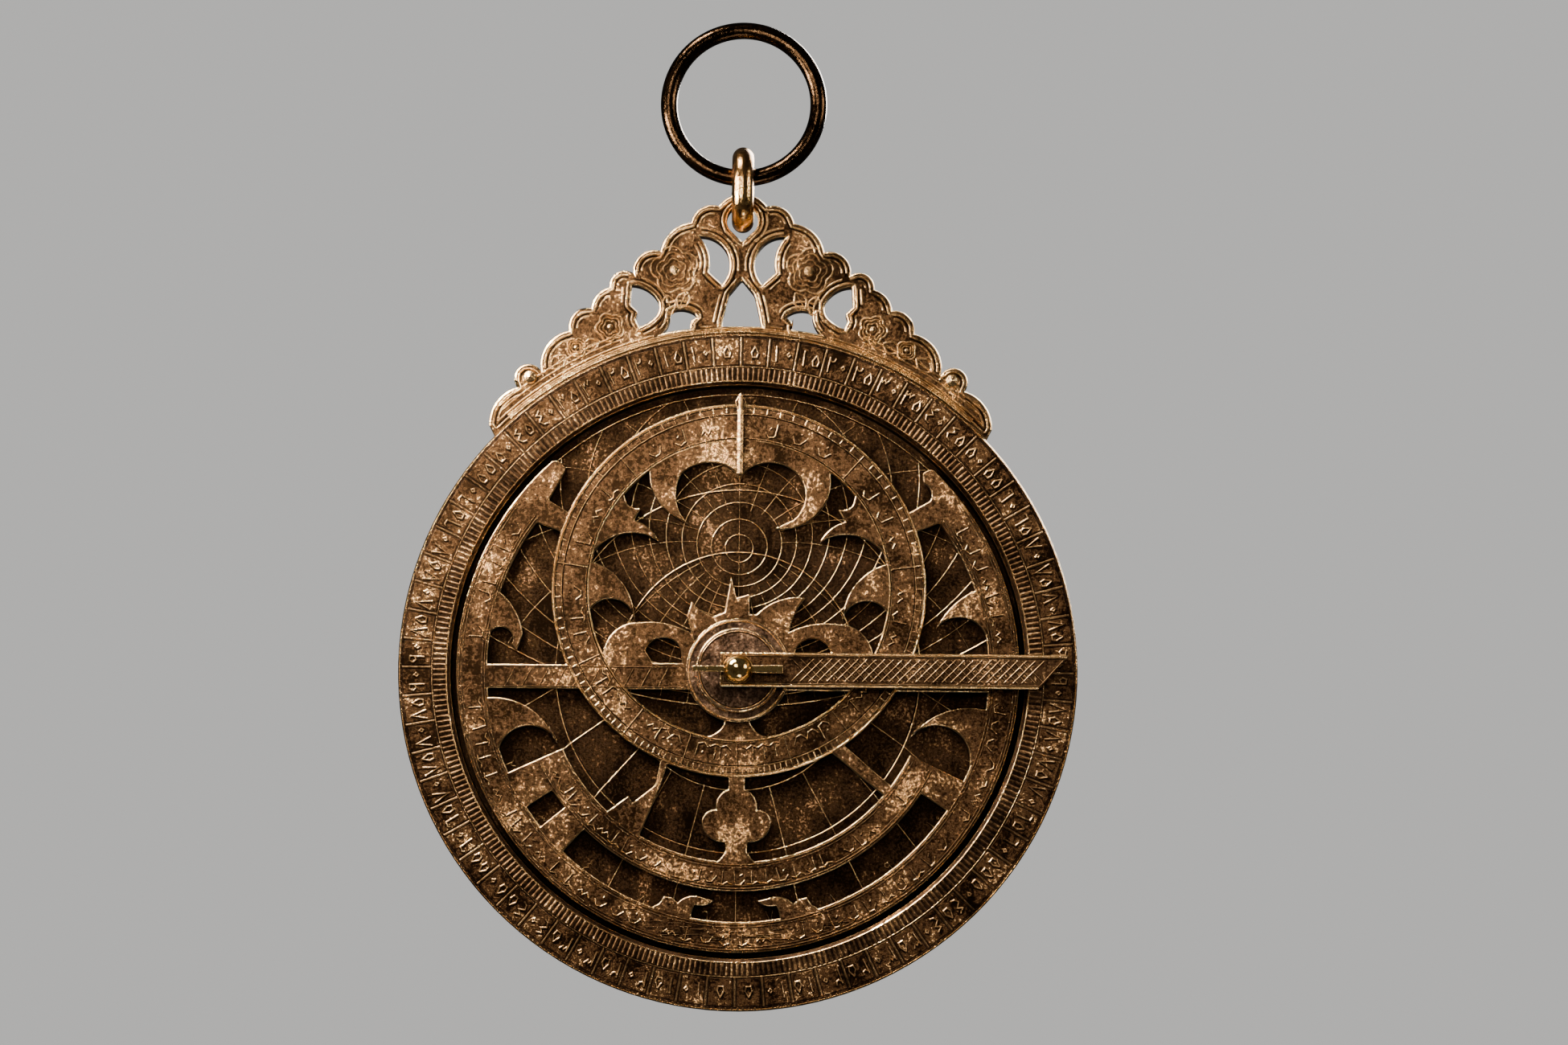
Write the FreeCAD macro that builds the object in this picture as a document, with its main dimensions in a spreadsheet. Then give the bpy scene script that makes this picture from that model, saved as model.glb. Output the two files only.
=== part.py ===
"""Planispheric astrolabe of the Persian pattern, hanging from its suspension ring.

Millimetres, +Z up, face towards -Y. The origin is the inside top of the suspension ring, where a finger or
a hook carries it. Every flat piece is drawn in the plane of the face (X across, Z up) about the pivot, and
its place in the stack is a depth: the distance from the back of the mater towards the face.
"""

import FreeCAD, Part

import math
import os

import Sketcher
from FreeCAD import Placement, Rotation, Vector

doc = FreeCAD.newDocument("astrolabe")

# ---------------------------------------------------------------- driving dimensions

SIZES = {
    # the mater: a flat back with a raised limb round a hollow for the plates
    "mater_radius": 60.0,
    "mater_thick": 1.6,
    "limb_inner": 50.8,
    "limb_high": 5.5,
    "limb_lip": 0.7,
    "limb_edge": 0.25,
    "rivet_radius": 1.0,
    "rivet_circle": 55.4,
    "rivet_bite": 3.4,
    # four climate plates, keyed by a peg at the foot of the hollow
    "plate_radius": 50.5,
    "plate_thick": 0.8,
    "peg_radius": 1.3,
    "peg_circle": 49.2,
    "peg_gap": 0.15,
    # the rete
    "rete_thick": 1.2,
    "rete_gap": 0.1,
    "rete_outer": 49.8,
    "rete_inner": 44.3,
    "ecliptic_centre": 14.3,
    "ecliptic_outer": 33.2,
    "ecliptic_inner": 26.5,
    "band_outer": 39.0,
    "band_inner": 33.8,
    "bar_top": 0.8,
    "bar_foot": -3.5,
    "hub_radius": 9.2,
    "hub_thick": 0.6,
    "washer_radius": 7.6,
    "washer_thick": 0.55,
    "washer_bevel": 0.3,
    "pointer_thick": 0.8,
    # the rule over the face
    "rule_half": 3.0,
    "rule_tail": 3.1,
    "rule_long": 58.4,
    "rule_slant": 5.4,
    "rule_thick": 1.1,
    "rule_gap": 0.1,
    # the pin and its wedge
    "pin_radius": 2.5,
    "pin_gap": 0.06,
    "pin_head": 5.2,
    "pin_head_thick": 1.5,
    "pin_head_edge": 0.4,
    "pin_neck": 0.35,
    "wedge_thick": 1.2,
    "wedge_half": 8.0,
    "wedge_thin_end": 0.5,
    "wedge_thick_end": 0.75,
    "wedge_gap": 0.06,
    # the alidade and its sight vanes on the back
    "alidade_half": 57.0,
    "alidade_arm": 4.2,
    "alidade_point": 6.5,
    "alidade_thick": 1.4,
    "alidade_gap": 0.1,
    "alidade_boss": 9.0,
    "vane_place": 44.0,
    "vane_thick": 1.6,
    "vane_high": 12.0,
    "vane_half": 4.2,
    "sight_hole": 0.6,
    "sight_high": 7.4,
    "lower_sight_hole": 0.3,
    "lower_sight_high": 3.6,
    "rear_washer": 6.6,
    "rear_washer_thick": 0.5,
    # the throne, the link through it and the ring above
    "throne_depth": 2.0,
    "throne_thick": 3.5,
    "throne_band": 61.5,
    "seat_gap": 0.03,
    "tongue_thick": 1.5,
    "tongue_half": 13.0,
    "tongue_foot": 54.6,
    "link_hole": 2.8,
    "link_height": 80.55,
    "link_long": 11.5,
    "link_bend": 4.45,
    "link_wire": 1.95,
    "ring_radius": 13.4,
    "ring_wire": 1.5,
    "ring_gap": 0.12,
}

sheet = doc.addObject("Spreadsheet::Sheet", "sizes")
for row, (alias, value) in enumerate(SIZES.items(), start=1):
    sheet.set(f"A{row}", alias)
    sheet.set(f"B{row}", str(value))
    sheet.setAlias(f"B{row}", alias)
doc.recompute()


def size(alias):
    """A driving dimension, read from the sheet."""
    return float(sheet.get(alias))


# Depths of the stack, from the back of the mater towards the face.
limb_front = size("mater_thick") + size("limb_high")
plate_top = size("mater_thick") + 4 * size("plate_thick")
rete_back = plate_top + size("rete_gap")
rete_front = rete_back + size("rete_thick")
hub_front = rete_front + size("hub_thick")
washer_back = hub_front + size("rete_gap") / 2
washer_front = washer_back + size("washer_thick")
rule_back = washer_front + size("rule_gap")
rule_front = rule_back + size("rule_thick")
wedge_back = rule_front + size("rule_gap")
wedge_front = wedge_back + size("wedge_thick")
alidade_front = -size("alidade_gap")
alidade_back = alidade_front - size("alidade_thick")
rear_washer_back = alidade_back - size("alidade_gap") - size("rear_washer_thick")
pin_head_front = rear_washer_back
hole_radius = size("pin_radius") + size("pin_gap")

# Heights above the pivot, then where the pivot hangs below the origin.
link_top = size("link_height") + size("link_long")
# The throne's two edges, not its middle, ride on the link's bend.
link_inner = size("link_bend") - size("link_wire")
link_rise = math.sqrt(link_inner**2 - (size("throne_thick") / 2) ** 2)
eye_height = size("link_height") + size("link_bend") - link_rise + size("ring_gap") - size("link_hole")
ring_foot = link_top - size("link_wire") - size("ring_gap") - size("ring_wire")
ring_centre = ring_foot + size("ring_radius")
pivot_drop = ring_centre + size("ring_radius") - size("ring_wire")
mater_back = size("throne_depth") + size("throne_thick") / 2  # puts the throne's mid-plane at Y = 0
PIVOT = Placement(Vector(0, mater_back, -pivot_drop), Rotation())

# ---------------------------------------------------------------- helpers


def polar(radius, degrees, centre_z=0.0):
    """A point of the face plane at a radius and an angle from +X."""
    angle = math.radians(degrees)
    return (radius * math.cos(angle), centre_z + radius * math.sin(angle))


def mirrored(outline):
    """The same outline on the other side of the upright axis."""

    def flip(item):
        return tuple(flip(point) for point in item) if isinstance(item[0], tuple) else (-item[0], item[1])

    return [flip(item) for item in outline]


def draw(sketch, outline):
    """Adds a closed outline: a start, then for each stretch its end, or (a point on the arc, its end)."""
    here = Vector(*outline[0], 0)
    for item in outline[1:]:
        if isinstance(item[0], tuple):
            end = Vector(*item[1], 0)
            sketch.addGeometry(Part.Arc(here, Vector(*item[0], 0), end))
        else:
            end = Vector(*item, 0)
            sketch.addGeometry(Part.LineSegment(here, end))
        here = end
    start = Vector(*outline[0], 0)
    if here.distanceToPoint(start) > 1e-6:
        sketch.addGeometry(Part.LineSegment(here, start))


def circle(sketch, alias, x=0.0, z=0.0):
    """Adds a circle whose radius is a cell of the sheet, or a plain length."""
    bound = isinstance(alias, str)
    radius = size(alias) if bound else alias
    index = sketch.addGeometry(Part.Circle(Vector(x, z, 0), Vector(0, 0, 1), radius))
    if bound:
        constraint = sketch.addConstraint(Sketcher.Constraint("Radius", index, radius))
        sketch.setExpression(f"Constraints[{constraint}]", f"sizes.{alias}")


def sector(inner, outer, start, end):
    """The outline of a stretch of a flat ring about the pivot, from one angle to another."""
    middle = (start + end) / 2
    return [
        polar(inner, start),
        polar(outer, start),
        (polar(outer, middle), polar(outer, end)),
        polar(inner, end),
        (polar(inner, middle), polar(inner, start)),
    ]


def new_body(label, place=PIVOT):
    body = doc.addObject("PartDesign::Body", label)
    body.Label = label
    body.Placement = place
    return body


def plane_sketch(body, role, offset=0.0):
    """A sketch on one of the body's own origin planes, moved along the plane's normal."""
    sketch = body.newObject("Sketcher::SketchObject", "Sketch")
    plane = next(f for f in body.Origin.OriginFeatures if f.Role == role)
    sketch.AttachmentSupport = [(plane, "")]
    sketch.MapMode = "FlatFace"
    sketch.AttachmentOffset = Placement(Vector(0, 0, offset), Rotation())
    return sketch


def face_sketch(body, depth):
    """A sketch parallel to the face; a pad on it grows towards the face."""
    return plane_sketch(body, "XZ_Plane", depth)


def pad(body, sketch, length):
    """A pad whose length is a cell of the sheet, or a plain length."""
    feature = body.newObject("PartDesign::Pad", "Pad")
    feature.Profile = sketch
    if isinstance(length, str):
        feature.setExpression("Length", f"sizes.{length}")
    else:
        feature.Length = length
    doc.recompute()
    return feature


def pocket(body, sketch, length):
    """Cuts from the sketch towards the face, and makes sure that it did cut."""
    before = body.Shape.Volume
    feature = body.newObject("PartDesign::Pocket", "Pocket")
    feature.Profile = sketch
    feature.Reversed = True
    feature.Length = length
    doc.recompute()
    if body.Shape.Volume >= before - 1e-6:
        raise RuntimeError(f"a pocket in {body.Label} cuts nothing")
    return feature


def revolve(body, outline):
    """Turns an outline of (depth, radius) points, with or without arcs, about the pin's axis."""
    sketch = plane_sketch(body, "YZ_Plane")
    draw(sketch, mirrored(outline))
    feature = body.newObject("PartDesign::Revolution", "Revolution")
    feature.Profile = sketch
    feature.ReferenceAxis = (sketch, ["H_Axis"])
    feature.Angle = 360.0
    doc.recompute()
    return feature


# ---------------------------------------------------------------- mater, limb and rivets

RIVET_ANGLES = [22.5 + 45 * k for k in range(8)]
THRONE_RIVETS = [(-9.0, 56.6), (9.0, 56.6)]


def rivet_places():
    return [polar(size("rivet_circle"), angle) for angle in RIVET_ANGLES]


def mater_plate():
    """The flat back: a disc with the pin's hole and the holes that the rivets fill."""
    body = new_body("mater_plate")
    sketch = face_sketch(body, 0.0)
    circle(sketch, "mater_radius")
    circle(sketch, hole_radius)
    for x, z in rivet_places() + THRONE_RIVETS:
        circle(sketch, "rivet_radius", x, z)
    circle(sketch, "peg_radius", 0, -size("peg_circle"))
    pad(body, sketch, "mater_thick")


def limb_ring():
    """The raised rim, with a bevelled lip round the hollow, blind rivet holes and the throne's slot."""
    body = new_body("limb_ring")
    back, front = size("mater_thick"), limb_front
    inner, outer = size("limb_inner"), size("mater_radius")
    lip, edge = size("limb_lip"), size("limb_edge")
    revolve(
        body,
        [
            (back, inner),
            (front - lip, inner),
            (front, inner + lip),
            (front, outer - edge),
            (front - edge, outer),
            (back, outer),
        ],
    )
    holes = face_sketch(body, back)
    for x, z in rivet_places() + THRONE_RIVETS:
        circle(holes, "rivet_radius", x, z)
    pocket(body, holes, rivet_length() - back)
    slot = face_sketch(body, tongue_depth())
    draw(slot, tongue_outline())
    pocket(body, slot, size("tongue_thick"))


def rivet_length():
    """Rivets run from the back of the mater to well inside the limb."""
    return size("mater_thick") + size("rivet_bite")


def limb_rivets():
    body = new_body("limb_rivets")
    body.AllowCompound = True
    sketch = face_sketch(body, 0.0)
    for x, z in rivet_places():
        circle(sketch, "rivet_radius", x, z)
    pad(body, sketch, rivet_length())


# ---------------------------------------------------------------- throne

# One side of the scalloped edge, from the apex outwards: each lobe is an arc (a point on it, its end).
APEX = (0.0, 85.4)
SHOULDER = (-4.3, 83.2)
LOBES = [
    ((-7.2, 82.9), (-9.2, 80.1)),
    ((-12.6, 78.6), (-14.6, 75.0)),
    ((-18.2, 74.1), (-19.4, 70.9)),
    ((-22.4, 70.9), (-23.6, 68.3)),
    ((-26.0, 66.7), (-26.8, 64.6)),
    ((-29.8, 63.5), (-30.8, 60.4)),
    ((-34.5, 58.0), (-35.6, 53.2)),
    ((-38.7, 54.2), (-39.8, 50.2)),
    ((-43.2, 47.9), (-44.7, 43.4)),
]
FOOT_ANGLE = 136.6  # where the edge meets the limb
EYE_SHOULDER = 215  # the angle at which the link's eye turns from a circle into a point
EYE_POINT = 1.38  # how far down the point is, in radii
TONGUE_BITE = 0.8  # how far the tongue's top stands into the throne

CRESCENT = [
    (-7.7, 77.6),
    ((-2.4, 73.8), (-3.6, 69.0)),
    (-6.0, 71.2),
    ((-6.0, 74.6), (-7.7, 77.6)),
]
NICHE = [
    (-12.6, 64.0),
    ((-9.9, 64.3), (-8.3, 63.6)),
    (-8.0, 63.0),
    ((-8.9, 62.3), (-8.9, 60.95)),
    ((-11.6, 60.6), (-14.1, 60.1)),
    ((-12.9, 61.9), (-12.6, 64.0)),
]
LEAF_GAP = [
    (-19.6, 68.7),
    ((-16.9, 67.9), (-15.2, 66.3)),
    ((-14.7, 64.6), (-15.5, 62.9)),
    ((-16.8, 61.9), (-18.3, 61.2)),
    (-18.9, 62.5),
    (-18.5, 63.9),
    (-19.8, 65.1),
]
ARCH_SIDE = [(-3.5, 61.45), ((-2.9, 64.4), (-2.2, 67.2)), (0.0, 69.9)]


def throne_edge():
    """The whole outline: the scallops on both sides and the arc that sits on the limb."""
    seat = size("mater_radius") + size("seat_gap")
    foot = polar(seat, FOOT_ANGLE)
    right_foot = (-foot[0], foot[1])
    outline = [SHOULDER] + LOBES + [foot, ((0.0, seat), right_foot)]
    ends = [SHOULDER] + [stretch[1] for stretch in LOBES]
    outline.append((-ends[-1][0], ends[-1][1]))
    for index in range(len(LOBES) - 1, -1, -1):
        via, end = LOBES[index][0], ends[index]
        outline.append(((-via[0], via[1]), (-end[0], end[1])))
    outline.append((APEX, SHOULDER))
    return outline


def link_hole():
    """A round eye for the link, drawn down to a point."""
    centre, radius = eye_height, size("link_hole")
    left = polar(radius, EYE_SHOULDER, centre)
    return [left, ((0.0, centre + radius), (-left[0], left[1])), (0.0, centre - EYE_POINT * radius)]


def arch():
    """The pointed opening in the middle, standing on the base band."""
    foot, (bulge, shoulder), point = ARCH_SIDE
    right_foot, (right_bulge, right_shoulder), _ = mirrored(ARCH_SIDE)
    return [
        foot,
        (bulge, shoulder),
        point,
        right_shoulder,
        (right_bulge, right_foot),
        ((0.0, size("throne_band")), foot),
    ]


def tongue_depth():
    return size("throne_depth") + (size("throne_thick") - size("tongue_thick")) / 2


def tongue_outline():
    """The tenon under the throne, which a slot in the limb holds. It stands a little into the throne."""
    half, foot = size("tongue_half"), size("tongue_foot")
    shoulder = math.sqrt(size("mater_radius") ** 2 - half**2) + TONGUE_BITE / 2
    top = size("throne_band") - TONGUE_BITE
    return [(-half, foot), (half, foot), (half, shoulder), ((0, top), (-half, shoulder))]


def throne():
    body = new_body("throne")
    sketch = face_sketch(body, size("throne_depth"))
    draw(sketch, throne_edge())
    draw(sketch, link_hole())
    draw(sketch, arch())
    for window in (CRESCENT, NICHE, LEAF_GAP):
        draw(sketch, window)
        draw(sketch, mirrored(window))
    pad(body, sketch, "throne_thick")
    tongue = face_sketch(body, tongue_depth())
    draw(tongue, tongue_outline())
    pad(body, tongue, "tongue_thick")
    holes = face_sketch(body, tongue_depth())
    for x, z in THRONE_RIVETS:
        circle(holes, "rivet_radius", x, z)
    pocket(body, holes, size("tongue_thick"))


def throne_rivets():
    """Two rivets from the back, through the mater, the limb and the throne's tongue."""
    body = new_body("throne_rivets")
    body.AllowCompound = True
    sketch = face_sketch(body, 0.0)
    for x, z in THRONE_RIVETS:
        circle(sketch, "rivet_radius", x, z)
    pad(body, sketch, rivet_length())


# ---------------------------------------------------------------- climate plates and their peg


def plate_peg():
    """A round peg at the foot of the hollow, which keeps every plate from turning."""
    body = new_body("plate_peg")
    sketch = face_sketch(body, 0.0)
    circle(sketch, "peg_radius", 0, -size("peg_circle"))
    pad(body, sketch, plate_top)


def climate_plates():
    """Four discs, each with a notch that fits over the peg."""
    radius = size("plate_radius")
    notch = size("peg_radius") + size("peg_gap")
    notch_top = size("peg_circle")
    meet = math.sqrt(radius**2 - notch**2)
    outline = [
        (-notch, -meet),
        (-notch, -notch_top),
        ((0.0, -notch_top + notch), (notch, -notch_top)),
        (notch, -meet),
        ((0.0, radius), (-notch, -meet)),
    ]
    for number in range(4):
        body = new_body(f"climate_plate_{number + 1}")
        sketch = face_sketch(body, size("mater_thick") + number * size("plate_thick"))
        draw(sketch, outline)
        circle(sketch, hole_radius)
        pad(body, sketch, "plate_thick")


# ---------------------------------------------------------------- rete

RIM = size("rete_outer")
OVERLAP = 0.5  # how far ties and bars run into the rings that hold them
HORN_ANGLES = (139.5, 400.5)  # the tropic ring runs from one horn, under the pivot, to the other
BAND_ANGLES = (204.5, 334.3)
TIES = [(204.5, 213.4), (219.0, 226.5), (326.6, 334.3)]

# A crown of two curling horns under the top of the ecliptic ring, meeting in a pendant.
CROWN = [
    (0.0, 42.5),
    (-12.0, 40.4),
    (-17.2, 36.8),
    (-16.1, 35.2),
    ((-14.9, 30.6), (-11.7, 27.4)),
    (-9.0, 25.9),
    ((-11.2, 30.0), (-10.3, 35.0)),
    ((-6.4, 36.9), (-2.7, 36.5)),
    ((-1.1, 35.5), (0.0, 33.6)),
    ((1.1, 35.5), (2.7, 36.5)),
    ((6.4, 36.9), (10.3, 35.0)),
    ((11.5, 30.0), (9.6, 26.9)),
    (6.2, 25.3),
    ((13.2, 27.3), (16.1, 35.2)),
    (17.2, 36.8),
    (12.0, 40.4),
]
# Star pointers inside the ecliptic ring, left side.
UPPER_THORN = [
    (-20.9, 32.8),
    (-20.1, 29.7),
    ((-18.9, 28.8), (-17.5, 28.8)),
    (-18.7, 26.6),
    ((-16.0, 25.2), (-14.2, 22.8)),
    ((-20.6, 24.1), (-26.1, 20.3)),
    (-27.4, 20.6),
    (-24.6, 27.8),
]
MIDDLE_THORN = [
    (-27.3, 19.4),
    (-26.4, 19.2),
    ((-20.2, 14.9), (-18.4, 8.8)),
    ((-22.2, 12.5), (-26.5, 10.2)),
    (-27.4, 10.0),
]
# Star pointers on the tropic ring. The two sides were cut to different stars.
UPPER_HOOK_LEFT = [
    (-43.9, 14.6),
    (-42.3, 13.6),
    ((-39.3, 10.0), (-38.1, 6.1)),
    (-39.2, 3.0),
    (-40.0, 4.4),
    ((-42.4, 7.3), (-44.2, 5.3)),
    (-45.6, 4.6),
]
UPPER_HOOK_RIGHT = [
    (43.4, 15.2),
    (41.1, 14.3),
    ((37.6, 11.6), (34.9, 7.7)),
    ((38.9, 9.8), (43.8, 6.6)),
    (45.6, 6.2),
]
LOWER_HOOK_LEFT = [
    (-45.3, -5.2),
    (-43.8, -5.1),
    ((-36.8, -6.9), (-31.7, -13.3)),
    ((-37.8, -10.2), (-42.1, -14.9)),
    (-43.5, -15.6),
]
LOWER_HOOK_RIGHT = [
    (45.2, -6.6),
    (43.8, -6.5),
    ((35.6, -7.4), (30.3, -11.9)),
    ((36.8, -9.6), (41.0, -16.3)),
    (42.8, -17.6),
]
BRIDGE_LEFT = [(-37.4, 32.2), (-34.0, 30.1), (-29.6, 27.4), (-31.4, 24.3), (-36.0, 26.0), (-38.6, 26.4)]
BRIDGE_RIGHT = [(37.2, 32.4), (33.6, 30.4), (29.8, 28.2), (31.3, 24.9), (35.7, 26.6), (38.4, 26.6)]
HORN_LEFT = [
    polar(RIM, 141),
    (polar(RIM, 136.5), polar(RIM, 132.2)),
    ((-31.6, 36.6), (-31.0, 35.2)),
    (-31.9, 33.4),
    (-33.7, 30.2),
    (-36.5, 28.6),
]
HORN_RIGHT = [
    polar(RIM, 39),
    (polar(RIM, 43), polar(RIM, 46.2)),
    ((33.2, 35.9), (32.4, 35.2)),
    (32.6, 33.6),
    ((33.9, 32.3), (33.7, 30.4)),
    (36.5, 28.8),
]
# The scroll that springs from the bar beside the hub, and the eye in it.
SCROLL = [
    (-23.4, 0.0),
    ((-22.5, 6.2), (-17.6, 8.4)),
    ((-13.0, 8.3), (-8.4, 6.6)),
    (-5.0, 0.0),
]
SCROLL_EYE = [
    (-16.4, 3.4),
    ((-13.6, 5.7), (-10.2, 3.8)),
    (-9.9, 1.2),
    (-15.0, 1.2),
]
# Star points round the hub.
HUB_CROWN = [
    (-7.6, 4.0),
    (-9.1, 9.6),
    (-8.3, 12.3),
    ((-6.6, 10.6), (-4.4, 9.6)),
    (-2.4, 10.4),
    (-1.4, 16.8),
    (-0.3, 12.9),
    (1.9, 13.6),
    (2.0, 10.0),
    (3.2, 10.0),
    ((7.2, 12.6), (11.8, 13.0)),
    ((9.9, 10.0), (8.9, 6.0)),
    (6.0, 2.0),
]
# Stems and struts below the bar.
NECK_SIDE = [(-2.0, -2.0), (-2.0, -7.6), ((-3.2, -10.6), (-6.4, -11.7)), (-6.6, -13.6)]
FLEUR_SIDE = [
    (-1.4, -17.8),
    (-1.5, -21.0),
    ((-3.2, -22.4), (-3.6, -24.6)),
    ((-5.4, -25.2), (-6.1, -27.0)),
    ((-4.6, -29.6), (-2.0, -30.3)),
    (-1.9, -31.9),
    ((-2.8, -33.2), (-4.2, -34.2)),
]
STRUT_LEFT = [
    (-23.6, -26.0),
    (-22.7, -25.0),
    (-19.0, -22.3),
    (-18.4, -23.6),
    (-14.4, -20.4),
    (-13.4, -15.6),
    (-12.0, -15.8),
    (-13.6, -21.0),
    (-17.1, -29.4),
    (-17.8, -30.6),
]
STRUT_RIGHT = [(18.2, -12.4), (28.0, -20.8), (26.7, -22.5), (16.4, -14.2)]
# The raised index at the top of the ecliptic ring: a stem and a point.
POINTER = [(0, 49.5), (-1.0, 47.8), (-0.55, 46.5), (-0.55, 34.8), (0.55, 34.8), (0.55, 46.5), (1.0, 47.8)]
# A leaf on each side of the slot at the foot of the tropic ring.
FOOT_LEAF = [
    (-14.6, -44.2),
    (-14.4, -41.6),
    ((-13.0, -40.6), (-12.7, -39.9)),
    (-11.2, -40.1),
    (-10.2, -41.0),
    ((-8.9, -40.1), (-5.7, -40.1)),
    (-3.8, -40.6),
    ((-5.6, -41.5), (-7.2, -41.4)),
    ((-7.7, -42.8), (-7.6, -45.4)),
]


def upright(side):
    """A closed outline from its left side, given from top to foot with arcs, and the mirror of it."""
    points = [side[0]] + [item[1] if isinstance(item[0], tuple) else item for item in side[1:]]
    outline = list(side) + [(-points[-1][0], points[-1][1])]
    for index in range(len(side) - 1, 0, -1):
        end = (-points[index - 1][0], points[index - 1][1])
        item = side[index]
        outline.append((mirrored([item[0]])[0], end) if isinstance(item[0], tuple) else end)
    return outline


def rete():
    """The pierced star map: rings, bar, ties, star pointers and ornament, cut from one sheet."""
    body = new_body("rete")

    def add(*outlines):
        sketch = face_sketch(body, rete_back)
        for outline in outlines:
            draw(sketch, outline)
        pad(body, sketch, "rete_thick")

    ecliptic = face_sketch(body, rete_back)
    circle(ecliptic, "ecliptic_outer", 0, size("ecliptic_centre"))
    circle(ecliptic, "ecliptic_inner", 0, size("ecliptic_centre"))
    pad(body, ecliptic, "rete_thick")
    reach, foot, top = size("rete_inner") + 3 * OVERLAP, size("bar_foot"), size("bar_top")
    add([(-reach, foot), (reach, foot), (reach, top), (-reach, top)])
    add(sector(size("rete_inner"), size("rete_outer"), *HORN_ANGLES))
    add(sector(size("band_inner"), size("band_outer"), *BAND_ANGLES))
    add(*[sector(size("band_outer") - OVERLAP, size("rete_inner") + OVERLAP, *tie) for tie in TIES])
    add(CROWN, UPPER_THORN, mirrored(UPPER_THORN), MIDDLE_THORN, mirrored(MIDDLE_THORN))
    add(UPPER_HOOK_LEFT, UPPER_HOOK_RIGHT, LOWER_HOOK_LEFT, LOWER_HOOK_RIGHT)
    add(BRIDGE_LEFT, BRIDGE_RIGHT)
    add(HORN_LEFT, HORN_RIGHT)
    add(upright(NECK_SIDE), upright(FLEUR_SIDE), STRUT_LEFT, STRUT_RIGHT)
    add(FOOT_LEAF, mirrored(FOOT_LEAF))
    add(SCROLL, mirrored(SCROLL))
    add(HUB_CROWN)
    hub = face_sketch(body, rete_back)
    circle(hub, "hub_radius")
    pad(body, hub, "rete_thick")
    holes = face_sketch(body, rete_back)
    circle(holes, hole_radius)
    draw(holes, SCROLL_EYE)
    draw(holes, mirrored(SCROLL_EYE))
    pocket(body, holes, size("rete_thick"))


def capricorn_pointer():
    """The raised index on the ecliptic ring, whose tip reads the limb."""
    body = new_body("capricorn_pointer")
    sketch = face_sketch(body, rete_front)
    draw(sketch, POINTER)
    pad(body, sketch, "pointer_thick")


def hub_disc():
    """A plain disc soldered on the hub of the rete."""
    body = new_body("hub_disc")
    sketch = face_sketch(body, rete_front)
    circle(sketch, "hub_radius")
    circle(sketch, hole_radius)
    pad(body, sketch, "hub_thick")


# ---------------------------------------------------------------- rule, washer, pin and wedge


def hub_washer():
    """The loose washer between the rete and the rule, with a bevelled rim."""
    body = new_body("hub_washer")
    rim, bevel = size("washer_radius"), size("washer_bevel")
    revolve(
        body,
        [
            (washer_back, size("pin_radius")),
            (washer_front, size("pin_radius")),
            (washer_front, rim - bevel),
            (washer_front - bevel, rim),
            (washer_back, rim),
        ],
    )


def rule():
    """A half rule from the pin to the limb, its far end cut on the slant."""
    body = new_body("rule")
    half, tail, tip = size("rule_half"), size("rule_tail"), size("rule_long")
    sketch = face_sketch(body, rule_back)
    draw(sketch, [(-tail, half), (-tail, -half), (tip - size("rule_slant"), -half), (tip, half)])
    circle(sketch, hole_radius)
    pad(body, sketch, "rule_thick")


def centre_pin():
    """The pin: a domed head behind, a round shank, a slot for the wedge and a round nose in front."""
    body = new_body("centre_pin")
    radius, head = size("pin_radius"), size("pin_head")
    edge = size("pin_head_edge")
    head_back = pin_head_front - size("pin_head_thick")
    nose = wedge_front + size("pin_neck")
    slope = math.sqrt(0.5) * radius
    revolve(
        body,
        [
            (head_back, 0.0),
            ((head_back + 0.3, 0.6 * head), (pin_head_front - edge, head)),
            (pin_head_front, head),
            (pin_head_front, radius),
            (nose, radius),
            ((nose + slope, slope), (nose + radius, 0.0)),
        ],
    )
    slot = face_sketch(body, wedge_back - size("wedge_gap"))
    half = wedge_high(0.5 + 0.5 * size("pin_radius") / size("wedge_half")) + size("wedge_gap")
    reach = 2 * size("pin_radius")
    draw(slot, [(-reach, -half), (reach, -half), (reach, half), (-reach, half)])
    pocket(body, slot, size("wedge_thick") + 2 * size("wedge_gap"))


def wedge_high(share):
    """Half the wedge's height at a share of the way from its thin end (0) to its thick end (1)."""
    thin, thick = size("wedge_thin_end"), size("wedge_thick_end")
    return thin + (thick - thin) * share


def wedge():
    """The wedge that locks the stack, thicker towards its right end."""
    body = new_body("wedge")
    half = size("wedge_half")
    thin, thick = wedge_high(0.0), wedge_high(1.0)
    sketch = face_sketch(body, wedge_back)
    draw(sketch, [(-half, -thin), (half, -thick), (half, thick), (-half, thin)])
    pad(body, sketch, "wedge_thick")


# ---------------------------------------------------------------- alidade on the back


def alidade():
    """The sighting bar: a round boss, two arms and pointed ends that read the scale on the back."""
    body = new_body("alidade")
    tip, arm, boss = size("alidade_half"), size("alidade_arm"), size("alidade_boss")
    shoulder = tip - size("alidade_point")
    meet = math.sqrt(boss**2 - arm**2)
    sketch = face_sketch(body, alidade_back)
    draw(
        sketch,
        [
            (-tip, 0.0),
            (-shoulder, -arm),
            (-meet, -arm),
            ((0.0, -boss), (meet, -arm)),
            (shoulder, -arm),
            (tip, 0.0),
            (shoulder, arm),
            (meet, arm),
            ((0.0, boss), (-meet, arm)),
            (-shoulder, arm),
        ],
    )
    circle(sketch, hole_radius)
    pad(body, sketch, "alidade_thick")


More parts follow.
